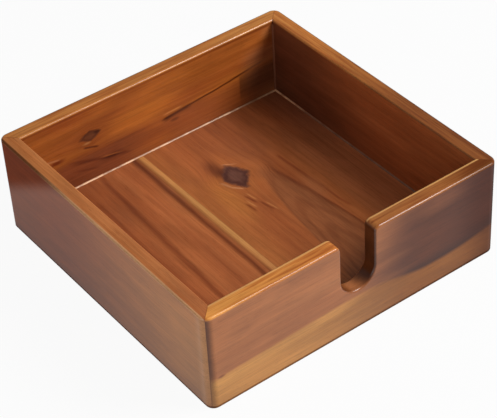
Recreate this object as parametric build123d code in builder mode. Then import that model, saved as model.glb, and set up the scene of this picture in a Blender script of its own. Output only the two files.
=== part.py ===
from build123d import *
import os
from math import sqrt

# Square wooden napkin tray with a finger notch in its front wall, in millimetres.
# Four mitred walls, held by a blind spline in each corner, carry a floor of two glued boards
# in a groove. Origin: middle of the base on the table. +Z up, the notched front wall at -Y.

# --- driving dimensions ---------------------------------------------------------------------
box_width = 190.0  # outside, along X
box_depth = 190.0  # outside, along Y
box_height = 61.5
wall_thickness = 9.0
corner_radius = 5.0  # upright outer corners
arris_radius = 1.3  # eased edges of the rim, the notch and the foot

floor_thickness = 7.0
floor_recess = 4.0  # height of the floor's underside above the table
groove_depth = 4.0  # how far the floor reaches into each wall
groove_play = 0.2  # headroom above the floor's edge in its groove
expansion_gap = 0.4  # room left beyond the floor's edge for the wood to swell
floor_seam = -11.0  # X of the glue line between the two floor boards

notch_width = 22.0
notch_sill = 15.5  # lowest point of the notch above the floor
notch_lip_radius = 3.5  # rounded shoulders where the notch meets the rim

spline_thickness = 2.0
spline_cover = 2.0  # wood left between a spline and the faces of the walls
spline_end_cover = 6.0  # wood left above and below a spline
spline_play = 0.1  # glue room on every side of a spline

# --- sizes that follow ----------------------------------------------------------------------
inside_width = box_width - 2 * wall_thickness
inside_depth = box_depth - 2 * wall_thickness
floor_top = floor_recess + floor_thickness
groove_top = floor_top + groove_play
notch_bottom = floor_top + notch_sill
notch_radius = notch_width / 2
notch_arc_height = notch_bottom + notch_radius

# A spline crosses its mitre at a right angle. Its middle stands spline_inset in from both outer
# faces, and its length leaves the same cover towards the outside as towards the inside.
spline_inset = wall_thickness - spline_cover - spline_thickness / sqrt(8)
spline_length = 2 * (sqrt(2) * (spline_inset - spline_cover) - spline_thickness / 2)
spline_bottom = groove_top + spline_end_cover
spline_height = box_height - spline_end_cover - spline_bottom

corners = {
    "front_left": (-1, -1),
    "front_right": (1, -1),
    "back_left": (-1, 1),
    "back_right": (1, 1),
}
walls = {
    "front_wall": Vector(0, -1),
    "back_wall": Vector(0, 1),
    "left_wall": Vector(-1, 0),
    "right_wall": Vector(1, 0),
}

os.makedirs("parts", exist_ok=True)


def save(piece, label):
    """Names a finished piece and writes it."""
    piece.part.label = label
    export_step(piece.part, f"parts/{label}.step")


def spline_place(side_x, side_y):
    """Where a corner's spline stands, turned square across the mitre."""
    x = side_x * (box_width / 2 - spline_inset)
    y = side_y * (box_depth / 2 - spline_inset)
    return Location((x, y, spline_bottom), (0, 0, 45 * side_x * side_y))


# --- the four walls as one rounded frame, before the mitres part them -----------------------
with BuildPart() as frame:
    with BuildSketch():
        Rectangle(box_width, box_depth)
    extrude(amount=box_height)
    fillet(frame.edges().filter_by(Axis.Z), corner_radius)
    with BuildSketch():
        Rectangle(inside_width, inside_depth)
    extrude(amount=box_height, mode=Mode.SUBTRACT)

    # finger notch, straight through the front wall
    with BuildSketch(Plane.XZ.offset(box_depth / 2)):
        with Locations((0, notch_arc_height)):
            Circle(notch_radius)
            Rectangle(notch_width, box_height, align=(Align.CENTER, Align.MIN))
    extrude(amount=-wall_thickness, mode=Mode.SUBTRACT)
    rim_edges = frame.edges().group_by(Axis.Z)[-1]
    shoulders = rim_edges.filter_by(Axis.Y).filter_by_position(Axis.X, -notch_width, notch_width)
    fillet(shoulders, notch_lip_radius)

    # eased edges: rim inside and outside, both faces of the notch, and the foot outside
    notch_reach = notch_radius + notch_lip_radius
    notch_edges = (
        frame.edges()
        .filter_by_position(Axis.X, -notch_reach, notch_reach)
        .filter_by_position(Axis.Y, -box_depth / 2, -inside_depth / 2)
        .filter_by_position(Axis.Z, notch_bottom, box_height)
        .filter_by(Axis.Y, reverse=True)
    )
    rim_edges = frame.edges().group_by(Axis.Z)[-1]
    shoulder_lines = rim_edges.filter_by(Axis.Y).filter_by_position(Axis.X, -notch_width, notch_width)
    foot_edges = frame.faces().sort_by(Axis.Z)[0].outer_wire().edges()
    fillet(notch_edges + (rim_edges - shoulder_lines) + foot_edges, arris_radius)

    # groove for the floor
    with BuildSketch(Plane.XY.offset(floor_recess)):
        Rectangle(inside_width + 2 * groove_depth, inside_depth + 2 * groove_depth)
    extrude(amount=groove_top - floor_recess, mode=Mode.SUBTRACT)

    # slots for the splines, half in each of the two walls that meet
    for side_x, side_y in corners.values():
        with Locations(spline_place(side_x, side_y)):
            with Locations((0, 0, -spline_play)):
                Box(
                    spline_thickness + 2 * spline_play,
                    spline_length + 2 * spline_play,
                    spline_height + 2 * spline_play,
                    align=(Align.CENTER, Align.CENTER, Align.MIN),
                    mode=Mode.SUBTRACT,
                )

# --- walls: the frame parted at 45 degrees through its corners ------------------------------
for wall_name, outward in walls.items():
    along = Vector(-outward.Y, outward.X)
    with BuildPart() as wall:
        add(frame.part)
        for end in (-1, 1):
            to_corner = outward + along * end
            corner = Vector(to_corner.X * box_width / 2, to_corner.Y * box_depth / 2)
            split(bisect_by=Plane(origin=corner, z_dir=outward - along * end), keep=Keep.TOP)
    save(wall, wall_name)

# --- floor boards: edge-glued, housed in the groove all round -------------------------------
floor_reach = groove_depth - expansion_gap
floor_half_width = inside_width / 2 + floor_reach
floor_length = inside_depth + 2 * floor_reach
staves = {
    "floor_left_stave": (-floor_half_width, floor_seam),
    "floor_right_stave": (floor_seam, floor_half_width),
}
for stave_name, (left_edge, right_edge) in staves.items():
    with BuildPart() as stave:
        with BuildSketch(Plane.XY.offset(floor_recess)):
            with Locations((left_edge, 0)):
                Rectangle(right_edge - left_edge, floor_length, align=(Align.MIN, Align.CENTER))
        extrude(amount=floor_thickness)
    save(stave, stave_name)

# --- mitre splines --------------------------------------------------------------------------
for corner_name, (side_x, side_y) in corners.items():
    with BuildPart() as spline:
        with Locations(spline_place(side_x, side_y)):
            Box(
                spline_thickness,
                spline_length,
                spline_height,
                align=(Align.CENTER, Align.CENTER, Align.MIN),
            )
    save(spline, f"mitre_spline_{corner_name}")
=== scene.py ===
from math import cos, pi, radians, sin

import bpy
from mathutils import Matrix, Vector


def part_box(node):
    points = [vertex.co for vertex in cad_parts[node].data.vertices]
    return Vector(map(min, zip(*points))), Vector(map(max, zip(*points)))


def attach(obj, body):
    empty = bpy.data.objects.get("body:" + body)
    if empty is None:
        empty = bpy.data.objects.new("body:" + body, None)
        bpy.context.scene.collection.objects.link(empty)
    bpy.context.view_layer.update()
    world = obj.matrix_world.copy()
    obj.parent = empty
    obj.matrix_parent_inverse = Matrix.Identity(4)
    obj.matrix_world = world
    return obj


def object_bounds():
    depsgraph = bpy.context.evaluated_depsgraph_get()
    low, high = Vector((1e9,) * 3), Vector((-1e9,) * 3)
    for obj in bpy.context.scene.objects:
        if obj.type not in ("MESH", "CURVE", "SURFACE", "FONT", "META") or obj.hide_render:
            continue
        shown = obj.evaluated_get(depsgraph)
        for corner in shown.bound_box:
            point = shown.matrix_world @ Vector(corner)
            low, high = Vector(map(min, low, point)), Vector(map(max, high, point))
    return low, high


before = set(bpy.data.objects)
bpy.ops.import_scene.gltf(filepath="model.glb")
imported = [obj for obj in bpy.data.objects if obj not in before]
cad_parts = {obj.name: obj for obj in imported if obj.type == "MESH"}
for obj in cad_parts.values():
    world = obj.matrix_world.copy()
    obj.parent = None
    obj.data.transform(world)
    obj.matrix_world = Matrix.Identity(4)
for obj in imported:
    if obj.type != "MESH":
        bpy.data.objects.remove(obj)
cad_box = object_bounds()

# Looks of a square napkin tray in lacquered acacia. Metres, +Z up, the notched wall at -Y.
# Inside the materials, places on the wood are in millimetres: x, y and z of the whole tray.

# --- places taken from the frame ------------------------------------------------------------
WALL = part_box("front_wall")[1].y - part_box("front_wall")[0].y
OUTSIDE = cad_box[1].x
INSIDE = OUTSIDE - WALL
RIM = cad_box[1].z
FLOOR_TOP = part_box("floor_left_stave")[1].z

# the same in millimetres, for the materials
MM = 1000
OUTSIDE_MM = OUTSIDE * MM
INSIDE_MM = INSIDE * MM
RIM_MM = RIM * MM
SEAM_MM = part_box("floor_right_stave")[0].x * MM


# --- camera ---------------------------------------------------------------------------------
def make_camera():
    """Stands in front of the tray, to its left and above, with a long lens."""
    place = Vector((-0.43399, -0.62478, 0.65298))
    azimuth, elevation, roll = radians(34.784), radians(39.774), radians(-3.647)
    look = Vector((sin(azimuth) * cos(elevation), cos(azimuth) * cos(elevation), -sin(elevation)))
    level = Vector((cos(azimuth), -sin(azimuth), 0))
    upright = level.cross(look)
    right = level * cos(roll) + upright * sin(roll)
    up = upright * cos(roll) - level * sin(roll)
    data = bpy.data.cameras.new("camera")
    data.sensor_width = 36
    data.lens = 131.52
    data.shift_x = 0.0029
    data.shift_y = -0.0006
    camera = bpy.data.objects.new("camera", data)
    turn = Matrix((right, up, -look)).transposed().to_4x4()
    camera.matrix_world = Matrix.Translation(place) @ turn
    bpy.context.scene.collection.objects.link(camera)
    bpy.context.scene.camera = camera


# --- node trees -----------------------------------------------------------------------------
MIX_FIRST, MIX_SECOND, MIX_RESULT = 6, 7, 2  # the colour sockets of a mix node


class Graph:
    """Lays nodes in one tree. A number is set on a socket, another socket is linked to it."""

    def __init__(self, tree):
        self.tree = tree
        self.tree.nodes.clear()

    def feed(self, socket, value):
        if isinstance(value, bpy.types.NodeSocket):
            self.tree.links.new(value, socket)
        elif isinstance(value, tuple) and len(value) < len(socket.default_value):
            socket.default_value = (*value, 1)
        else:
            socket.default_value = value

    def add(self, kind, *values, **settings):
        node = self.tree.nodes.new(kind)
        for setting, value in settings.items():
            setattr(node, setting, value)
        for socket, value in zip(node.inputs, values):
            self.feed(socket, value)
        return node

    def math(self, operation, *values):
        return self.add("ShaderNodeMath", *values, operation=operation).outputs[0]

    def plus(self, first, second):
        return self.math("ADD", first, second)

    def minus(self, first, second):
        return self.math("SUBTRACT", first, second)

    def times(self, first, second):
        return self.math("MULTIPLY", first, second)

    def ease(self, value, start, end, low=0.0, high=1.0):
        """Goes softly from low, where value is start, to high, where it is end."""
        node = self.add("ShaderNodeMapRange", value, start, end, low, high)
        node.interpolation_type = "SMOOTHSTEP"
        return node.outputs[0]

    def mix(self, share, first, second, blend="MIX"):
        node = self.add("ShaderNodeMix", share, data_type="RGBA", blend_type=blend)
        self.feed(node.inputs[MIX_FIRST], first)
        self.feed(node.inputs[MIX_SECOND], second)
        return node.outputs[MIX_RESULT]

    def brighten(self, colour, factor):
        """Multiplies the colour by one number, which darkens it where that is under 1."""
        return self.mix(1.0, colour, self.vector(factor, factor, factor), "MULTIPLY")

    def vector(self, x, y, z):
        return self.add("ShaderNodeCombineXYZ", x, y, z).outputs[0]

    def noise(self, place, detail):
        node = self.add("ShaderNodeTexNoise")
        self.feed(node.inputs["Vector"], place)
        node.inputs["Scale"].default_value = 1.0
        node.inputs["Detail"].default_value = detail
        return node.outputs["Fac"]

    def group(self, group, *values):
        node = self.add("ShaderNodeGroup")
        node.node_tree = group
        for socket, value in zip(node.inputs, values):
            self.feed(socket, value)
        return node.outputs


def new_group(name, inputs, outputs):
    """An empty node group of plain number sockets: the group, its graph, inputs and outputs."""
    group = bpy.data.node_groups.new(name, "ShaderNodeTree")
    for socket in inputs:
        group.interface.new_socket(name=socket, in_out="INPUT", socket_type="NodeSocketFloat")
    for socket in outputs:
        group.interface.new_socket(name=socket, in_out="OUTPUT", socket_type="NodeSocketFloat")
    graph = Graph(group)
    given = graph.add("NodeGroupInput").outputs
    wanted = graph.add("NodeGroupOutput").inputs
    return group, graph, given, wanted


# --- the figure of the wood -----------------------------------------------------------------
def make_grain():
    """Streaks, growth lines and pores that run along a board."""
    group, graph, given, wanted = new_group(
        "board_grain",
        ("Along", "Across", "Depth", "Seed"),
        ("Tone", "Cloud", "Streak", "Vein", "Fibre", "Pore", "Height"),
    )
    along, across, depth, seed = (given[name] for name in ("Along", "Across", "Depth", "Seed"))

    def drawn_out(length, width, shift, detail=2.0):
        """Noise in long thin patches, about length by width. Each shift gives another one."""
        place = graph.vector(
            graph.plus(graph.times(along, 1 / length), graph.plus(seed, shift)),
            graph.times(across, 1 / width),
            graph.times(depth, 1 / width),
        )
        return graph.noise(place, detail)

    broad = drawn_out(length=110, width=15, shift=0)
    cloud = drawn_out(length=30, width=7, shift=3.9)
    lines = drawn_out(length=160, width=3.2, shift=7.3)
    vein = drawn_out(length=34, width=1.5, shift=31.7)
    fibre = drawn_out(length=24, width=0.55, shift=13.1, detail=3.0)
    vessel = drawn_out(length=5.5, width=0.26, shift=21.7, detail=1.0)
    pore = graph.ease(vessel, 0.63, 0.74)
    graph.feed(wanted["Tone"], graph.ease(broad, 0.3, 0.7))
    graph.feed(wanted["Cloud"], graph.ease(cloud, 0.3, 0.7))
    graph.feed(wanted["Streak"], graph.ease(lines, 0.3, 0.72))
    graph.feed(wanted["Vein"], graph.ease(vein, 0.42, 0.66))
    graph.feed(wanted["Fibre"], fibre)
    graph.feed(wanted["Pore"], pore)
    graph.feed(wanted["Height"], graph.minus(graph.times(fibre, 0.35), pore))
    return group


def make_knot():
    """A knot: its core, the rings in it, a halo round it, and how far it pushes the grain."""
    group, graph, given, wanted = new_group(
        "knot",
        ("Along", "Across", "Centre Along", "Centre Across", "Half Length", "Half Width", "Turn"),
        ("Core", "Rings", "Halo", "Push"),
    )
    along = graph.minus(given["Along"], given["Centre Along"])
    across = graph.minus(given["Across"], given["Centre Across"])
    turned_cos = graph.math("COSINE", given["Turn"])
    turned_sin = graph.math("SINE", given["Turn"])
    long_way = graph.plus(graph.times(along, turned_cos), graph.times(across, turned_sin))
    wide_way = graph.minus(graph.times(across, turned_cos), graph.times(along, turned_sin))
    long_share = graph.math("ABSOLUTE", graph.math("DIVIDE", long_way, given["Half Length"]))
    wide_share = graph.math("ABSOLUTE", graph.math("DIVIDE", wide_way, given["Half Width"]))
    corner_power = 1.2  # between a diamond, 1, and an ellipse, 2
    raggedness = 0.52
    ring_pace = 15.0
    power_sum = graph.plus(
        graph.math("POWER", long_share, corner_power), graph.math("POWER", wide_share, corner_power)
    )
    ragged = graph.noise(graph.vector(graph.times(along, 0.3), graph.times(across, 0.3), 4.0), 3.0)
    # reach is 0 in the middle of the knot and about 1 at its edge
    reach = graph.plus(
        graph.math("POWER", power_sum, 1 / corner_power),
        graph.times(graph.minus(ragged, 0.5), raggedness),
    )
    rings = graph.math("SINE", graph.times(reach, ring_pace))
    core = graph.ease(reach, 1.20, 0.78)
    middle = graph.ease(reach, 0.72, 0.36)
    rings = graph.times(graph.ease(rings, -0.6, 1.0), 0.45)
    graph.feed(wanted["Core"], core)
    graph.feed(wanted["Rings"], graph.times(graph.math("MAXIMUM", middle, rings), core))
    graph.feed(wanted["Halo"], graph.ease(reach, 2.5, 0.9))
    near = graph.ease(reach, 3.2, 0.4, 0.0, -0.62)
    graph.feed(wanted["Push"], graph.times(across, near))
    return group


def make_grain_line():
    """One dark or light line along the grain, from start to end, fading at both."""
    group, graph, given, wanted = new_group(
        "grain_line",
        ("Along", "Across", "Place", "Slope", "Bow", "Width", "Start", "End", "Fade"),
        ("Mask",),
    )
    along = given["Along"]
    sway_pace, sway_width = 0.045, 1.6
    sway = graph.noise(graph.vector(graph.times(along, sway_pace), given["Place"], 2.0), 1.0)
    bow = graph.times(given["Bow"], graph.times(along, along))
    middle = graph.plus(graph.plus(given["Place"], graph.times(given["Slope"], along)), bow)
    middle = graph.plus(middle, graph.times(graph.minus(sway, 0.5), sway_width))
    offset = graph.math("ABSOLUTE", graph.minus(given["Across"], middle))
    line = graph.ease(graph.math("DIVIDE", offset, given["Width"]), 1.0, 0.0)
    from_start = graph.math("DIVIDE", graph.minus(along, given["Start"]), given["Fade"])
    to_end = graph.math("DIVIDE", graph.minus(given["End"], along), given["Fade"])
    ends = graph.times(graph.ease(from_start, 0.0, 1.0), graph.ease(to_end, 0.0, 1.0))
    graph.feed(wanted["Mask"], graph.times(line, ends))
    return group


def make_patch():
    """A soft long spot."""
    group, graph, given, wanted = new_group(
        "patch",
        ("Along", "Across", "Centre Along", "Centre Across", "Half Length", "Half Width"),
        ("Mask",),
    )
    along = graph.minus(given["Along"], given["Centre Along"])
    across = graph.minus(given["Across"], given["Centre Across"])
    long_share = graph.math("DIVIDE", along, given["Half Length"])
    wide_share = graph.math("DIVIDE", across, given["Half Width"])
    squares = graph.plus(graph.times(long_share, long_share), graph.times(wide_share, wide_share))
    graph.feed(wanted["Mask"], graph.ease(graph.math("SQRT", squares), 1.0, 0.15))
    return group


GRAIN = make_grain()
KNOT = make_knot()
GRAIN_LINE = make_grain_line()
PATCH = make_patch()


class Board:
    """The wood of one board: places along, across and through it, and the marks on it."""

    def __init__(self, name, grain_axis, across_axis, depth_axis, seed):
        self.material = bpy.data.materials.new(name)
        self.material.use_nodes = True
        self.graph = Graph(self.material.node_tree)
        coordinates = self.graph.add("ShaderNodeTexCoord").outputs
        place = self.graph.add("ShaderNodeVectorMath", coordinates["Object"], operation="SCALE")
        place.inputs["Scale"].default_value = MM
        place = self.graph.add("ShaderNodeSeparateXYZ", place.outputs[0]).outputs
        normal = self.graph.add("ShaderNodeSeparateXYZ", coordinates["Normal"]).outputs
        self.x, self.y, self.z = place
        self.along = place[grain_axis]
        self.across = place[across_axis]
        self.depth = place[depth_axis]
        self.turned = self.graph.math("ABSOLUTE", normal[grain_axis])  # 1 on end grain
        self.seed = seed
        self.push = 0.0

    def grow(self):
        """Lays the grain, after the knots that push it aside."""
        across = self.graph.plus(self.across, self.push)
        grain = self.graph.group(GRAIN, self.along, across, self.depth, self.seed)
        self.tone, self.cloud, self.streak = grain["Tone"], grain["Cloud"], grain["Streak"]
        self.vein, self.fibre = grain["Vein"], grain["Fibre"]
        self.pore, self.height = grain["Pore"], grain["Height"]

    def knot(self, along, across, half_length, half_width, turn):
        """A knot at a place on the board, turned by some degrees."""
        knot = self.graph.group(
            KNOT, self.along, self.across, along, across, half_length, half_width, radians(turn)
        )
        self.push = self.graph.plus(self.push, knot["Push"])
        return knot

    def line(self, place, slope, width, start, end, fade=8.0, bow=0.0):
        """A line along the board: place is where it crosses the middle, fade how long its ends are."""
        return self.graph.group(
            GRAIN_LINE, self.along, self.across, place, slope, bow, width, start, end, fade
        )["Mask"]

    def line_between(self, start, end, width, fade=5.0):
        """A line from one point to another, each (along, across)."""
        slope = (end[1] - start[1]) / (end[0] - start[0])
        place = start[1] - slope * start[0]
        return self.line(place, slope, width, min(start[0], end[0]), max(start[0], end[0]), fade)

    def patch(self, along, across, half_length, half_width):
        """A soft spot at a place on the board."""
        return self.graph.group(
            PATCH, self.along, self.across, along, across, half_length, half_width
        )["Mask"]

    def tint(self, colour, mask, target, strength=1.0):
        """Moves the colour towards target where the mask is 1."""
        return self.graph.mix(self.graph.times(mask, strength), colour, target)

    def shade(self, colour, mask, target, strength=1.0):
        """Multiplies the colour by target where the mask is 1."""
        return self.graph.mix(self.graph.times(mask, strength), colour, target, "MULTIPLY")

    def edge_light_and_shade(self, coordinate, place, width=1.6):
        """The eased edge of the rim, beside the face of the wall that lies at that place: the mask
        where light and shade are painted along that edge.
        """
        away = self.graph.math("ABSOLUTE", self.graph.minus(coordinate, place))
        beside = self.graph.ease(away, width, width - 0.7)
        return self.graph.times(beside, self.graph.ease(self.z, RIM_MM - 1.3, RIM_MM - 0.9))

    def rim(self, colour, rim_colour, veins=0.6):
        """Changes the colour on the rim of a wall, lighter than its faces partly from the wood and
        partly as painted light on the top, and marks the glue line of the mitres.
        """
        graph = self.graph
        on_rim = graph.ease(self.z, RIM_MM - 1.6, RIM_MM - 0.5)
        rim_colour = self.shade(rim_colour, self.streak, (0.80, 0.66, 0.50), 0.6)
        rim_colour = self.shade(rim_colour, self.vein, (0.68, 0.50, 0.34), veins)
        colour = graph.mix(on_rim, colour, rim_colour)
        mitre = graph.minus(graph.math("ABSOLUTE", self.x), graph.math("ABSOLUTE", self.y))
        glue = graph.ease(graph.math("ABSOLUTE", mitre), 0.40, 0.12)
        return self.shade(colour, glue, (0.50, 0.40, 0.34), 0.8)

    def figured(self, colour, figure):
        """Streaks, veins, fibres and pores over the whole colour."""
        graph = self.graph
        colour = self.shade(colour, self.streak, (0.80, 0.73, 0.66), figure)
        colour = self.shade(colour, self.vein, (0.90, 0.85, 0.81), figure)
        fibres = graph.ease(self.fibre, 0.25, 0.75, 0.88, 1.10)
        clouds = graph.ease(self.cloud, 0.0, 1.0, -0.07, 0.07)
        colour = graph.brighten(colour, graph.plus(fibres, clouds))
        return self.shade(colour, self.pore, (0.58, 0.48, 0.42), 0.6)

    def dark_ends(self, colour, end_grain):
        """Darkens the end grain below the rim, deeper than the wood alone, as painted shade on the
        rounded corners and the sides of the notch. end_grain is the turn where that starts and is full.
        """
        graph = self.graph
        upward = graph.ease(self.z, 2.0, 30.0, 0.50, 0.88)
        below_rim = graph.ease(self.z, RIM_MM - 0.8, RIM_MM - 2.2)
        ends = graph.times(graph.ease(self.turned, *end_grain), upward)
        return self.shade(colour, graph.times(ends, below_rim), (0.18, 0.12, 0.11))

    def finish(self, colour, shine=0.6, figure=0.7, rim_shine=1.0, end_grain=(0.2, 0.85)):
        """Grain over the whole colour, dark end grain, painted shade along the foot, and a satin
        lacquer.
        """
        graph = self.graph
        colour = self.dark_ends(self.figured(colour, figure), end_grain)
        # painted shade along the bottom edge
        painted_foot_shade = graph.ease(self.z, 2.6, 1.7)
        colour = self.shade(colour, painted_foot_shade, (0.34, 0.28, 0.27), 0.9)
        near_rim = graph.ease(self.z, RIM_MM - 2.0, RIM_MM - 1.0)
        shine = graph.math("MAXIMUM", shine, graph.times(near_rim, rim_shine))
        shine = graph.minus(shine, graph.times(graph.times(shine, painted_foot_shade), 0.7))
        bump = graph.add("ShaderNodeBump")
        bump.inputs["Strength"].default_value = 0.35
        bump.inputs["Distance"].default_value = 0.00008
        graph.feed(bump.inputs["Height"], self.height)
        rougher_pores = graph.times(self.pore, 0.08)
        roughness = graph.plus(graph.ease(self.fibre, 0.2, 0.8, 0.36, 0.46), rougher_pores)
        wood = graph.add("ShaderNodeBsdfPrincipled")
        wood.inputs["Specular IOR Level"].default_value = 0.0
        wood.inputs["Coat Roughness"].default_value = 0.28
        wood.inputs["Coat IOR"].default_value = 1.5
        graph.feed(wood.inputs["Base Color"], colour)
        graph.feed(wood.inputs["Roughness"], roughness)
        graph.feed(wood.inputs["Coat Weight"], shine)
        graph.feed(wood.inputs["Normal"], bump.outputs["Normal"])
        graph.add("ShaderNodeOutputMaterial", wood.outputs[0])
        return self.material


# --- the boards -----------------------------------------------------------------------------
AXIS_X, AXIS_Y, AXIS_Z = 0, 1, 2
STRIP_START = SEAM_MM - 5.3  # pale sapwood strip along the left floor board's glued edge
BROWN_STREAK = (0.6, 0.48, 0.44)  # how a brown streak darkens the wood under it
OUTER_ARRIS_SHADE = (0.36, 0.32, 0.30)  # painted shade on the far outer edges of the rim, which turn away from the light


def floor_left_wood():
    """Orange heartwood with dark lines, and pale sapwood along the glue line."""
    wood = Board("floor_left_acacia", AXIS_Y, AXIS_X, AXIS_Z, seed=3.7)
    wood.grow()
    graph = wood.graph
    colour = graph.mix(wood.tone, (0.41, 0.119, 0.037), (0.53, 0.173, 0.055))
    red_edge = graph.ease(wood.x, -30.0, -60.0)
    colour = wood.tint(colour, red_edge, (0.34, 0.090, 0.026), 0.75)
    to_back = graph.ease(wood.y, 25.0, 75.0)
    colour = wood.shade(colour, to_back, (0.86, 0.82, 0.80), 0.8)
    dull_spot = wood.patch(48, -50, 24, 11)
    colour = wood.shade(colour, dull_spot, (0.84, 0.86, 0.92), 0.9)
    # dark lines: place, slope, width and end, and how strongly each darkens the wood
    for place, slope, width, end, tone, strength in (
        (-45.3, 0.05, 3.2, 90, (0.58, 0.46, 0.42), 0.85),
        (-57.5, 0.04, 2.4, 70, (0.70, 0.60, 0.55), 0.7),
        (-31.0, 0.02, 2.0, 60, (0.80, 0.72, 0.68), 0.7),
    ):
        colour = wood.shade(colour, wood.line(place, slope, width, -90, end), tone, strength)
    beside_strip = wood.line(-18.6, 0.012, 3.4, -95, 95)
    colour = wood.shade(colour, beside_strip, (0.36, 0.26, 0.22), 0.95)
    # the strip is brown at its left edge, palest beside the glue line, and duller to the front
    strip = graph.ease(wood.x, STRIP_START - 1.0, STRIP_START + 1.4)
    to_seam = graph.ease(wood.x, STRIP_START + 0.6, STRIP_START + 3.0)
    pale = graph.mix(to_seam, (0.34, 0.118, 0.035), (0.62, 0.285, 0.085))
    to_front = graph.ease(wood.y, 5.0, -35.0)
    pale = wood.shade(pale, to_front, (0.84, 0.76, 0.78), 0.9)
    colour = wood.tint(colour, strip, pale, 0.95)
    glue = graph.ease(wood.x, SEAM_MM - 0.5, SEAM_MM - 0.1)
    colour = wood.shade(colour, glue, (0.55, 0.42, 0.34), 0.8)
    return wood.finish(colour)


def grain_arches(wood, colour):
    """Tall arches of the grain that open to the front, with a dark right leg."""
    graph = wood.graph
    tip_x, tip_y = 35.6, 29.0
    lean = 0.045  # drift to the left for each millimetre forward
    widening = 3.0
    wobble_width = 16.0
    ripple_pace = 0.21
    wobble = graph.times(graph.minus(wood.tone, 0.5), wobble_width)
    forward = graph.minus(tip_y, wood.y)
    middle = graph.minus(tip_x, graph.times(forward, lean))
    aside = graph.minus(wood.x, middle)
    spread = graph.times(graph.times(aside, aside), 1 / widening)
    arch = graph.minus(graph.plus(forward, wobble), spread)
    inside_arch = graph.ease(arch, -5.0, 12.0)
    colour = wood.tint(colour, inside_arch, (0.27, 0.092, 0.034), 0.7)
    ripples = graph.ease(graph.math("SINE", graph.times(arch, ripple_pace)), -0.2, 1.0)
    colour = wood.shade(colour, graph.times(ripples, inside_arch), (0.76, 0.68, 0.64), 0.6)
    outline = graph.ease(graph.math("ABSOLUTE", arch), 12.0, 0.0)
    right_leg = graph.times(outline, graph.ease(aside, 0.0, 4.0))
    return wood.shade(colour, right_leg, (0.56, 0.46, 0.44), 0.9)


def floor_knot_marks(wood, colour, knot):
    """The knot, its orange halo, the dark smear behind it and the small cracks before it."""
    colour = wood.tint(colour, knot["Halo"], (0.46, 0.146, 0.036), 0.5)
    smear = wood.patch(47.5, 12.6, 14, 6.6)
    colour = wood.shade(colour, smear, (0.46, 0.38, 0.38), 0.9)
    smear_middle = wood.patch(42.5, 14.6, 7, 5.0)
    colour = wood.shade(colour, smear_middle, (0.52, 0.44, 0.44), 0.8)
    glow = wood.patch(20, 4, 32, 10)
    colour = wood.tint(colour, glow, (0.60, 0.215, 0.048), 0.6)
    # each crack with painted shade in it and each lip beside one with a painted highlight, from its
    # back end to its front end
    shaded_cracks = ((20, 11.2), (8, 13.8)), ((14, 7.6), (2, 9.0)), ((10, 15.6), (-3, 17.5))
    for back, front in shaded_cracks:
        colour = wood.shade(colour, wood.line_between(back, front, 1.3, 4.0), (0.55, 0.40, 0.34), 0.8)
    lit_lips = ((21, 13.6), (10, 15.6)), ((16, 9.8), (5, 11.2)), ((8, 17.8), (-4, 19.4))
    for back, front in lit_lips:
        colour = wood.tint(colour, wood.line_between(back, front, 0.9, 4.0), (0.66, 0.27, 0.085), 0.55)
    colour = wood.tint(colour, knot["Core"], (0.075, 0.024, 0.019), 0.95)
    colour = wood.tint(colour, knot["Rings"], (0.175, 0.070, 0.046), 0.75)
    # pale wood along the front and left edges of the knot, and a painted highlight along its back edge
    pale_and_lit_edges = ((37, 7.8), (28.5, 10.6)), ((30.5, 9.4), (22.5, 16.2)), ((50, 17.2), (43.5, 26.6))
    for back, front in pale_and_lit_edges:
        colour = wood.tint(colour, wood.line_between(back, front, 1.4, 2.5), (0.66, 0.32, 0.15), 0.6)
    return colour


def floor_right_wood():
    """The floor board with the knot and the tall arches of the grain."""
    wood = Board("floor_right_acacia", AXIS_Y, AXIS_X, AXIS_Z, seed=8.2)
    knot = wood.knot(35.6, 18.4, 11.8, 8.2, turn=4)
    wood.grow()
    graph = wood.graph
    colour = graph.mix(wood.tone, (0.33, 0.090, 0.025), (0.43, 0.128, 0.036))
    to_seam = graph.ease(wood.x, 8.0, SEAM_MM)
    colour = wood.tint(colour, to_seam, (0.46, 0.155, 0.042), 0.8)
    redder = graph.times(graph.ease(wood.y, 35.0, 75.0), graph.ease(wood.x, 8.0, 25.0))
    colour = wood.shade(colour, redder, (0.84, 0.82, 0.84), 0.9)
    # painted light lifting the shadow of the right wall, most towards the front
    painted_light_near_wall = graph.times(graph.ease(wood.x, 50.0, 68.0), graph.ease(wood.y, 95.0, 0.0, 0.45, 1.0))
    colour = wood.tint(colour, painted_light_near_wall, (0.62, 0.210, 0.080), 0.9)
    # painted light at the front end, in the shade of the front wall
    front_end = graph.ease(wood.y, -55.0, -80.0)
    colour = wood.tint(colour, front_end, (0.56, 0.20, 0.060), 0.7)
    # painted shade deepening the shadow of the right wall in the back corner
    painted_corner_shade = graph.times(graph.ease(wood.x, 66.0, 82.0), graph.ease(wood.y, 15.0, 60.0))
    colour = wood.shade(colour, painted_corner_shade, (0.66, 0.66, 0.80), 0.85)
    colour = grain_arches(wood, colour)
    dark_line = wood.line_between((38, 47.8), (-28.5, 51.5), 1.6)
    colour = wood.shade(colour, dark_line, (0.64, 0.48, 0.45), 0.85)
    brown_spot = wood.patch(0, 47, 18, 8)
    colour = wood.tint(colour, brown_spot, (0.46, 0.165, 0.062), 0.4)
    behind_knot = wood.patch(30, 29, 9, 6)
    colour = wood.shade(colour, behind_knot, (0.82, 0.84, 0.94), 0.9)
    colour = floor_knot_marks(wood, colour, knot)
    return wood.finish(colour)


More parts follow.
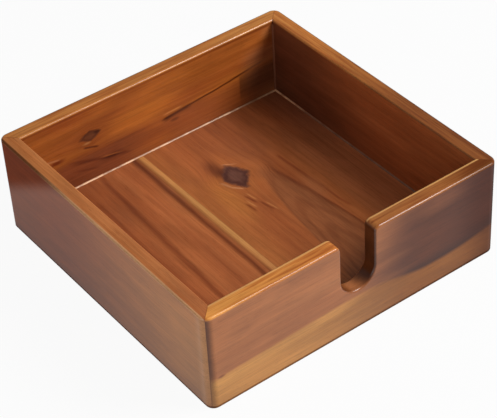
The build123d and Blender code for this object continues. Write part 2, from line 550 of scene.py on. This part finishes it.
def low_streaks(wood, colour):
    """Redder wood low on the left, with brown streaks along it."""
    graph = wood.graph
    low = graph.ease(graph.plus(wood.z, graph.times(wood.tone, 6.0)), 38.0, 28.0)
    left = graph.ease(wood.x, 6.0, -32.0, 0.08, 1.0)
    colour = wood.tint(colour, graph.times(low, left), (0.225, 0.056, 0.018), 0.9)
    brown_spot = wood.patch(-30.5, 21.8, 10, 3.0)
    colour = wood.shade(colour, brown_spot, (0.52, 0.40, 0.38), 0.8)
    upper_streak = wood.line_between((-62, 30.0), (-14, 17.0), 1.6, 10.0)
    colour = wood.shade(colour, upper_streak, BROWN_STREAK, 0.8)
    orange_line = wood.line_between((-40, 23.5), (-22, 20.5), 0.9, 6.0)
    colour = wood.tint(colour, orange_line, (0.42, 0.13, 0.03), 0.7)
    red_spot = wood.patch(-66.5, 33.8, 8, 2.4)
    colour = wood.shade(colour, red_spot, (0.44, 0.24, 0.24), 0.95)
    middle_streak = wood.line_between((-60, 27.5), (-24, 19.5), 1.3, 9.0)
    colour = wood.shade(colour, middle_streak, BROWN_STREAK, 0.8)
    lower_streak = wood.line_between((-58, 22.5), (-36, 16.5), 1.3, 8.0)
    colour = wood.shade(colour, lower_streak, BROWN_STREAK, 0.7)
    pale_line = wood.line_between((-78, 37.4), (-63, 34.9), 1.1, 3.5)
    return wood.tint(colour, pale_line, (0.58, 0.24, 0.10), 0.7)


def long_streak(wood, colour):
    """A long dark streak, darkest at its left end, where a small dash lies under it."""
    graph = wood.graph
    slope, bow = 0.053, 0.0007
    streak = wood.line(28.4, slope, 1.2, 3, 80, 5.0, bow)
    colour = wood.shade(colour, streak, (0.20, 0.13, 0.12), 0.95)
    light_above = wood.line(29.9, slope, 1.0, 3, 72, 9.0, bow)
    colour = wood.tint(colour, light_above, (0.58, 0.18, 0.03), 0.5)
    left_end = wood.line_between((3, 27.9), (27, 30.4), 2.8, 6.0)
    colour = wood.shade(colour, left_end, (0.17, 0.12, 0.11), 0.95)
    light_end = wood.line_between((4, 31.2), (20, 32.2), 1.0, 5.0)
    colour = wood.tint(colour, light_end, (0.72, 0.29, 0.08), 0.7)
    dash = wood.patch(13.4, 25.3, 5.0, 1.8)
    colour = wood.shade(colour, dash, (0.20, 0.15, 0.14), 0.95)
    below = graph.times(graph.ease(wood.x, 0.0, 20.0), graph.ease(wood.z, 32.0, 28.0))
    return wood.tint(colour, below, (0.34, 0.088, 0.024), 0.5)


def shaded_right_end(wood, colour):
    """The right end of the back board, in the right wall's shade: painted bounce light, a painted
    shadow low down behind a straight edge, and a lighter top corner.
    """
    graph = wood.graph
    # painted bounce light, paler and browner, in the shade at the right end
    painted_bounce_light = graph.times(graph.ease(wood.x, 58.0, 75.0), graph.ease(wood.z, 52.0, 40.0))
    colour = wood.tint(colour, painted_bounce_light, (0.44, 0.175, 0.075), 0.55)
    # a painted shadow low down on the inner face, with a straight left edge
    painted_shadow = graph.times(graph.ease(wood.x, 59.2, 60.8), graph.ease(wood.z, 34.5, 31.5))
    painted_shadow = graph.times(painted_shadow, graph.ease(wood.z, 12.0, 22.0))
    inner_face = graph.ease(wood.y, INSIDE_MM + 2.0, INSIDE_MM + 0.5)
    colour = wood.shade(colour, graph.times(painted_shadow, inner_face), (0.52, 0.55, 0.66), 0.9)
    light_corner = wood.patch(83, 55, 9, 7)
    return wood.tint(colour, light_corner, (0.52, 0.190, 0.060), 0.5)


def back_knot_marks(wood, colour, knot):
    """The small knot, with a dark tail, and a light spot and a dash under it."""
    colour = wood.tint(colour, knot["Halo"], (0.32, 0.080, 0.014), 0.6)
    colour = wood.tint(colour, knot["Core"], (0.095, 0.024, 0.010), 0.88)
    colour = wood.tint(colour, knot["Rings"], (0.19, 0.060, 0.022), 0.6)
    tail = wood.patch(-38.8, 42.2, 3.6, 1.9)
    colour = wood.shade(colour, tail, (0.42, 0.34, 0.32), 0.8)
    light_spot = wood.patch(-46.2, 37.3, 4.0, 1.1)
    colour = wood.tint(colour, light_spot, (0.54, 0.25, 0.09), 0.8)
    dash = wood.line_between((-49.5, 35.0), (-38, 31.8), 1.2, 2.5)
    return wood.shade(colour, dash, (0.32, 0.20, 0.17))


def back_wood():
    """Orange heartwood, redder low down, with a small knot and a long dark streak."""
    wood = Board("back_acacia", AXIS_X, AXIS_Z, AXIS_Y, seed=15.4)
    knot = wood.knot(-43.5, 41.5, 7.3, 3.7, turn=4)
    wood.grow()
    graph = wood.graph
    colour = graph.mix(wood.tone, (0.35, 0.088, 0.018), (0.48, 0.142, 0.024))
    bright_middle = wood.patch(-8, 40, 38, 13)
    colour = wood.tint(colour, bright_middle, (0.64, 0.200, 0.028), 0.7)
    # duller wood under the rim: middle, half length, half width and tone of each spot
    for along, across, half_length, half_width, tone in (
        (42, 54, 30, 12, (0.80, 0.76, 0.84)),
        (-58, 58, 30, 7, (0.84, 0.70, 0.80)),
        (-16, 56, 20, 7, (0.84, 0.82, 0.84)),
    ):
        colour = wood.shade(colour, wood.patch(along, across, half_length, half_width), tone, 0.9)
    colour = low_streaks(wood, colour)
    colour = long_streak(wood, colour)
    colour = shaded_right_end(wood, colour)
    colour = back_knot_marks(wood, colour, knot)
    beside_rim = graph.ease(wood.z, RIM_MM - 3.6, RIM_MM - 2.0)
    inner_face = graph.ease(wood.y, INSIDE_MM + 1, INSIDE_MM)
    colour = wood.shade(colour, graph.times(beside_rim, inner_face), (0.58, 0.48, 0.44), 0.8)
    rim = graph.mix(wood.tone, (0.51, 0.177, 0.034), (0.61, 0.240, 0.054))
    to_right = graph.ease(wood.x, 40.0, 80.0)
    rim = wood.tint(rim, to_right, (0.76, 0.36, 0.098), 0.8)
    colour = wood.rim(colour, rim)
    # painted shade along the outer edge of the rim
    colour = wood.shade(colour, wood.edge_light_and_shade(wood.y, OUTSIDE_MM), OUTER_ARRIS_SHADE, 0.85)
    return wood.finish(colour)


def right_wood():
    """Reddish heartwood, darkened with painted shade towards the back corner and the bottom, lighter
    towards the top and the front.
    """
    wood = Board("right_acacia", AXIS_Y, AXIS_Z, AXIS_X, seed=22.9)
    wood.grow()
    graph = wood.graph
    # painted shade: the colour darkens towards the back corner and the bottom
    forward = graph.plus(graph.ease(wood.y, 85.0, -50.0), graph.ease(wood.z, 15.0, 60.0, -0.08, 0.12))
    colour = graph.mix(graph.ease(forward, 0.0, 1.0), (0.160, 0.052, 0.024), (0.47, 0.140, 0.044))
    colour = wood.shade(colour, wood.tone, (0.76, 0.68, 0.64), 0.8)
    backward = graph.ease(wood.y, -38.0, 58.0)
    rim = graph.mix(backward, (0.27, 0.088, 0.019), (0.66, 0.258, 0.058))
    colour = wood.rim(colour, rim)
    # painted shade along the outer edge of the rim
    colour = wood.shade(colour, wood.edge_light_and_shade(wood.x, OUTSIDE_MM), OUTER_ARRIS_SHADE, 0.85)
    return wood.finish(colour)


def left_rim(wood):
    """The rim of the left wall: duller at its front end, lighter behind its middle."""
    graph = wood.graph
    rim = graph.mix(wood.tone, (0.46, 0.160, 0.052), (0.56, 0.205, 0.066))
    front_end = graph.ease(wood.y, -50.0, -80.0)
    rim = wood.shade(rim, front_end, (0.85, 0.78, 0.78), 0.9)
    backward = graph.ease(wood.y, 15.0, 45.0)
    return wood.tint(rim, backward, (0.57, 0.222, 0.074), 0.45)


def left_wood():
    """Even brown heartwood with a red patch high at the back."""
    wood = Board("left_acacia", AXIS_Y, AXIS_Z, AXIS_X, seed=31.6)
    wood.grow()
    graph = wood.graph
    forward = graph.ease(wood.y, 50.0, -95.0)
    colour = graph.mix(forward, (0.30, 0.068, 0.015), (0.53, 0.200, 0.046))
    colour = graph.brighten(colour, graph.ease(wood.z, 5.0, 60.0, 0.86, 1.03))
    colour = wood.shade(colour, wood.tone, (0.86, 0.80, 0.76), 0.7)
    # the red patch ends along a slope, and lies on the outer face alone
    slope_line = graph.plus(wood.z, graph.times(wood.y, 0.62))
    red = graph.times(graph.ease(slope_line, 77.0, 94.0), graph.ease(wood.x, -60.0, -90.0))
    colour = wood.tint(colour, red, (0.21, 0.036, 0.008), 0.85)
    front_end = graph.times(graph.ease(wood.y, -64.0, -84.0), graph.ease(wood.z, 52.0, 40.0))
    colour = wood.shade(colour, front_end, (0.86, 0.88, 0.92), 0.9)
    front_corner = graph.ease(wood.y, -85.0, -92.0)
    colour = wood.tint(colour, front_corner, (0.54, 0.265, 0.120), 0.7)
    # painted shade near the foot of the wall
    low = graph.ease(wood.z, 9.0, 1.0)
    colour = wood.shade(colour, low, (0.7, 0.62, 0.58), 0.7)
    colour = wood.rim(colour, left_rim(wood), veins=0.25)
    # painted shade on the far part of the outer rim edge and a painted highlight on its near part
    edge_light_and_shade = graph.mix(graph.ease(wood.y, 62.0, 15.0), (0.16, 0.055, 0.018), (0.66, 0.350, 0.170))
    colour = wood.tint(colour, wood.edge_light_and_shade(wood.x, -OUTSIDE_MM), edge_light_and_shade, 0.9)
    dull_on_red = graph.ease(red, 0.0, 1.0, 1.0, 0.2)
    shine = graph.times(graph.ease(wood.y, 80.0, -90.0, 0.46, 0.64), dull_on_red)
    rim_shine = graph.ease(wood.y, 60.0, -80.0, 0.15, 0.8)
    return wood.finish(colour, shine, figure=0.2, rim_shine=rim_shine, end_grain=(0.55, 1.0))


def above_sapwood(wood):
    """Height over the line between sapwood and heartwood, which rises to the notch, then dips."""
    graph = wood.graph
    line_height = 22.9
    rise = graph.times(graph.math("MINIMUM", graph.plus(wood.x, 9.0), 0.0), 0.036)
    recovery = graph.ease(wood.x, 58.0, 120.0, 1.0, 0.0)
    dip = graph.times(graph.ease(wood.x, 6.0, 48.0, 0.0, 6.9), recovery)
    return graph.minus(wood.z, graph.minus(graph.plus(line_height, rise), dip))


def front_heartwood(wood, above):
    """Pinkish on the left, dark purple brown on the right, darkest just over the sapwood."""
    graph = wood.graph
    toward_right = graph.plus(wood.x, graph.times(wood.tone, 18.0))
    toward_right = graph.minus(toward_right, graph.ease(wood.z, 42.0, 56.0, 0.0, 11.0))
    heart = graph.mix(graph.ease(toward_right, 4.0, 50.0), (0.45, 0.160, 0.050), (0.124, 0.034, 0.013))
    far_right = graph.ease(wood.x, 40.0, 92.0)
    heart = wood.tint(heart, far_right, (0.072, 0.017, 0.008), 0.85)
    heart = wood.shade(heart, wood.tone, (0.84, 0.76, 0.70), 0.7)
    lighter_top = wood.patch(54, 55, 26, 9)
    heart = wood.tint(heart, lighter_top, (0.30, 0.105, 0.040), 0.35)
    duller_top = wood.patch(-34, 55, 28, 9)
    heart = wood.shade(heart, duller_top, (0.86, 0.84, 0.84), 0.9)
    band = graph.times(graph.ease(above, 9.0, 0.5), graph.ease(wood.x, 20.0, 45.0))
    return wood.tint(heart, band, (0.050, 0.013, 0.007), 0.9)


def front_sapwood(wood, above):
    """Golden, palest on the left just under the heartwood, browner to the right."""
    graph = wood.graph
    sapwood = graph.mix(graph.ease(wood.x, -60.0, 40.0), (0.57, 0.250, 0.058), (0.28, 0.095, 0.016))
    far_right = graph.ease(wood.x, 60.0, 95.0)
    sapwood = wood.tint(sapwood, far_right, (0.12, 0.034, 0.010), 0.9)
    sapwood = wood.shade(sapwood, wood.tone, (0.90, 0.84, 0.75), 0.7)
    palest = graph.times(graph.ease(above, -9.0, -2.5), graph.ease(wood.x, 10.0, -20.0))
    return wood.tint(sapwood, palest, (0.66, 0.310, 0.078), 0.6)


def front_rim(wood):
    """The rim of the front wall, from bright orange on the left to dark brown on the right."""
    graph = wood.graph
    rim = graph.mix(graph.ease(wood.x, -85.0, -15.0), (0.80, 0.345, 0.078), (0.63, 0.222, 0.044))
    rim = graph.mix(graph.ease(wood.x, -15.0, 25.0), rim, (0.365, 0.128, 0.030))
    return graph.mix(graph.ease(wood.x, 50.0, 92.0), rim, (0.19, 0.060, 0.013))


def front_wood():
    """Heartwood above a band of sapwood."""
    wood = Board("front_acacia", AXIS_X, AXIS_Z, AXIS_Y, seed=40.3)
    wood.grow()
    graph = wood.graph
    above = above_sapwood(wood)
    colour = graph.mix(
        graph.ease(above, -1.8, 1.5), front_sapwood(wood, above), front_heartwood(wood, above)
    )
    small_mark = wood.patch(-87.6, 20.4, 3.6, 1.2)
    colour = wood.shade(colour, small_mark, (0.46, 0.33, 0.28), 0.95)
    colour = wood.rim(colour, front_rim(wood), veins=0.9)
    # a painted highlight along the inner edge of the front rim
    colour = wood.tint(colour, wood.edge_light_and_shade(wood.y, -INSIDE_MM, width=2.1), (0.82, 0.44, 0.15), 0.7)
    dull_right = graph.ease(wood.x, 60.0, 90.0, 0.0, 0.25)
    shine = graph.minus(graph.ease(wood.x, 0.0, 50.0, 0.92, 0.68), dull_right)
    shine = graph.times(shine, graph.ease(wood.x, 90.5, 93.5, 1.0, 0.0))
    rim_shine = graph.ease(wood.x, 40.0, 85.0, 1.0, 0.35)
    return wood.finish(colour, shine, figure=0.35, rim_shine=rim_shine, end_grain=(0.0, 0.80))


def spline_wood():
    """Pale, unlacquered hardwood of the hidden splines."""
    wood = Board("spline_beech", AXIS_Z, AXIS_X, AXIS_Y, seed=50.9)
    wood.grow()
    colour = wood.graph.mix(wood.tone, (0.55, 0.36, 0.20), (0.64, 0.45, 0.27))
    return wood.finish(colour, shine=0.0)


def dress_boards():
    finishes = {
        "front_wall": front_wood(),
        "back_wall": back_wood(),
        "left_wall": left_wood(),
        "right_wall": right_wood(),
        "floor_left_stave": floor_left_wood(),
        "floor_right_stave": floor_right_wood(),
    }
    hidden = spline_wood()
    for name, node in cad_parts.items():
        node.data.materials.clear()
        node.data.materials.append(finishes.get(name, hidden))


# --- cured lacquer in the inner corners -----------------------------------------------------
FILLET = 0.0008  # width of the fine line of lacquer that settled in each inner corner
FILLET_SINK = 0.0001  # how far it reaches into the wood behind it
FILLET_HOLLOW = 0.93 * FILLET  # width of the hollow curve along its free edge
UPRIGHT_GAP = 0.0030  # from the top of an upright line to the rim


def pick(mesh_object, wanted):
    """Selects the edges of an object in edit mode whose two ends both pass the test."""
    bpy.ops.mesh.select_all(action="DESELECT")
    bpy.ops.object.mode_set(mode="OBJECT")
    mesh = mesh_object.data
    for edge in mesh.edges:
        edge.select = all(wanted(mesh_object.matrix_world @ mesh.vertices[v].co) for v in edge.vertices)
    bpy.ops.object.mode_set(mode="EDIT")


def add_block(low, high):
    """A closed block between two corners, in edit mode."""
    bpy.ops.object.select_all(action="DESELECT")
    low, high = Vector(low), Vector(high)
    bpy.ops.mesh.primitive_cube_add(size=1, location=(low + high) / 2)
    block = bpy.context.object
    block.scale = high - low
    bpy.ops.object.transform_apply(location=True, rotation=False, scale=True)
    bpy.ops.object.mode_set(mode="EDIT")
    bpy.ops.mesh.select_mode(type="EDGE")
    return block


def hollow_edge():
    """Turns the chosen square edges into a hollow curve."""
    bpy.ops.mesh.bevel(offset=FILLET_HOLLOW, segments=5, profile=0.12, affect="EDGES")
    bpy.ops.object.mode_set(mode="OBJECT")


def floor_line():
    """The square ring where the floor meets the four walls."""
    reach = INSIDE + FILLET_SINK
    ring = add_block((-reach, -reach, FLOOR_TOP - FILLET_SINK), (reach, reach, FLOOR_TOP + FILLET))
    bpy.ops.mesh.select_mode(type="FACE")
    bpy.ops.mesh.select_all(action="DESELECT")
    bpy.ops.object.mode_set(mode="OBJECT")
    for face in ring.data.polygons:
        face.select = abs(face.normal.z) > 0.5
    bpy.ops.object.mode_set(mode="EDIT")
    bpy.ops.mesh.inset(thickness=FILLET + FILLET_SINK, depth=0)
    bpy.ops.mesh.bridge_edge_loops()
    bpy.ops.mesh.select_mode(type="EDGE")
    inner = INSIDE - FILLET / 2
    pick(ring, lambda p: p.z > FLOOR_TOP + FILLET / 2 and abs(p.x) < inner and abs(p.y) < inner)
    hollow_edge()
    return ring


def corner_line(side_x, side_y):
    """The upright line in one inner corner, ending below the eased rim."""
    reach = INSIDE + FILLET_SINK
    top = RIM - UPRIGHT_GAP
    xs = sorted((side_x * reach, side_x * (INSIDE - FILLET)))
    ys = sorted((side_y * reach, side_y * (INSIDE - FILLET)))
    bar = add_block((xs[0], ys[0], FLOOR_TOP), (xs[1], ys[1], top))
    inner = INSIDE - FILLET / 2
    pick(bar, lambda p: abs(p.x) < inner and abs(p.y) < inner)
    hollow_edge()
    return bar


def lacquer():
    """Clear lacquer over wood, thick enough to look pale and paler still as a painted highlight, darker
    along the right wall with painted shade, with a soft uneven shine.
    """
    patches_per_metre = 160.0
    shade_from, shade_by = 0.08, 0.05  # Y over which the line at the right wall darkens with painted shade
    material = bpy.data.materials.new("cured_lacquer")
    material.use_nodes = True
    graph = Graph(material.node_tree)
    place = graph.add("ShaderNodeTexCoord").outputs["Object"]
    scaled = graph.add("ShaderNodeVectorMath", place, operation="SCALE")
    scaled.inputs["Scale"].default_value = patches_per_metre
    uneven = graph.noise(scaled.outputs[0], 3.0)
    x, y, z = graph.add("ShaderNodeSeparateXYZ", place).outputs
    upright = graph.ease(z, FLOOR_TOP + 0.5 * FILLET, FLOOR_TOP + 1.5 * FILLET)
    # pale lacquer, partly a painted highlight along the line
    pale = graph.mix(graph.ease(uneven, 0.38, 0.62), (0.42, 0.20, 0.10), (0.80, 0.46, 0.25))
    # painted shade on the line where it lies in the right wall's shadow
    at_right = graph.ease(x, INSIDE - 2 * FILLET, INSIDE - FILLET)
    shaded_part = graph.times(at_right, graph.ease(y, shade_from, shade_by))
    pale = graph.mix(shaded_part, pale, graph.mix(uneven, (0.10, 0.038, 0.018), (0.42, 0.21, 0.12)))
    colour = graph.mix(upright, pale, (0.22, 0.085, 0.045))
    coat = graph.add("ShaderNodeBsdfPrincipled")
    coat.inputs["Specular IOR Level"].default_value = 0.3
    coat.inputs["Coat Roughness"].default_value = 0.2
    coat.inputs["Coat Weight"].default_value = 0.4
    graph.feed(coat.inputs["Base Color"], colour)
    graph.feed(coat.inputs["Roughness"], graph.ease(uneven, 0.3, 0.7, 0.3, 0.45))
    graph.add("ShaderNodeOutputMaterial", coat.outputs[0])
    return material


def make_lacquer_fillets():
    lines = [floor_line()]
    lines += [corner_line(side_x, side_y) for side_x in (-1, 1) for side_y in (-1, 1)]
    bpy.ops.object.select_all(action="DESELECT")
    for line in lines:
        line.select_set(True)
    bpy.context.view_layer.objects.active = lines[0]
    bpy.ops.object.join()
    fillets = bpy.context.object
    fillets.name = "lacquer_fillets"
    bpy.ops.object.transform_apply(location=True, rotation=True, scale=True)
    bpy.ops.object.mode_set(mode="EDIT")
    bpy.ops.mesh.select_all(action="SELECT")
    bpy.ops.mesh.normals_make_consistent(inside=False)
    bpy.ops.object.mode_set(mode="OBJECT")
    bpy.ops.object.shade_smooth_by_angle(angle=radians(40))
    fillets.data.materials.clear()
    fillets.data.materials.append(lacquer())
    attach(fillets, "root")


# --- stage and light ------------------------------------------------------------------------
def make_stage():
    """A plain pale floor, white to the eye and in reflections, that keeps a soft shadow."""
    bpy.ops.object.select_all(action="DESELECT")
    bpy.ops.mesh.primitive_circle_add(vertices=96, radius=3, fill_type="NGON")
    floor = bpy.context.object
    floor.name = "stage_floor"
    paper = bpy.data.materials.new("pale_floor")
    paper.use_nodes = True
    graph = Graph(paper.node_tree)
    matt = graph.add("ShaderNodeBsdfDiffuse", (0.62, 0.62, 0.62))
    white = graph.add("ShaderNodeEmission", (1.0, 1.0, 1.0), 1.0)
    path = graph.add("ShaderNodeLightPath").outputs
    seen = graph.math("MAXIMUM", path["Is Camera Ray"], path["Is Glossy Ray"])
    seen = graph.math("MAXIMUM", seen, path["Is Transmission Ray"])
    blend = graph.add("ShaderNodeMixShader", graph.times(seen, 0.94), matt.outputs[0], white.outputs[0])
    graph.add("ShaderNodeOutputMaterial", blend.outputs[0])
    floor.data.materials.append(paper)


def make_world():
    """Soft light from all round, white where the camera sees it."""
    world = bpy.data.worlds.new("soft_room")
    bpy.context.scene.world = world
    world.use_nodes = True
    graph = Graph(world.node_tree)
    room = graph.add("ShaderNodeBackground", (1.0, 1.0, 1.0), 0.2)
    white = graph.add("ShaderNodeBackground", (1.0, 1.0, 1.0), 1.0)
    path = graph.add("ShaderNodeLightPath").outputs
    blend = graph.add("ShaderNodeMixShader", path["Is Camera Ray"], room.outputs[0], white.outputs[0])
    graph.add("ShaderNodeOutputWorld", blend.outputs[0])


def make_lamp(name, toward, distance, size, level):
    """A square soft lamp aimed at the tray. level is the light a facing white card would get."""
    direction = Vector(toward).normalized()
    data = bpy.data.lights.new(name, "AREA")
    data.shape = "SQUARE"
    data.size = size
    data.energy = level * pi**2 * distance**2
    lamp = bpy.data.objects.new(name, data)
    lamp.location = Vector((0, 0, FLOOR_TOP)) + direction * distance
    lamp.rotation_mode = "QUATERNION"
    lamp.rotation_quaternion = direction.to_track_quat("Z", "Y")
    lamp.visible_camera = False
    bpy.context.scene.collection.objects.link(lamp)


def make_light():
    make_world()
    make_lamp("key_lamp", toward=(0.53, -0.46, 0.64), distance=1.3, size=0.6, level=1.08)
    make_lamp("left_card", toward=(-1.0, -0.25, 0.2), distance=1.0, size=0.5, level=0.25)


# --- the whole scene ------------------------------------------------------------------------
bpy.context.scene.view_settings.view_transform = "Standard"
make_camera()
make_stage()
make_light()
dress_boards()
make_lacquer_fillets()
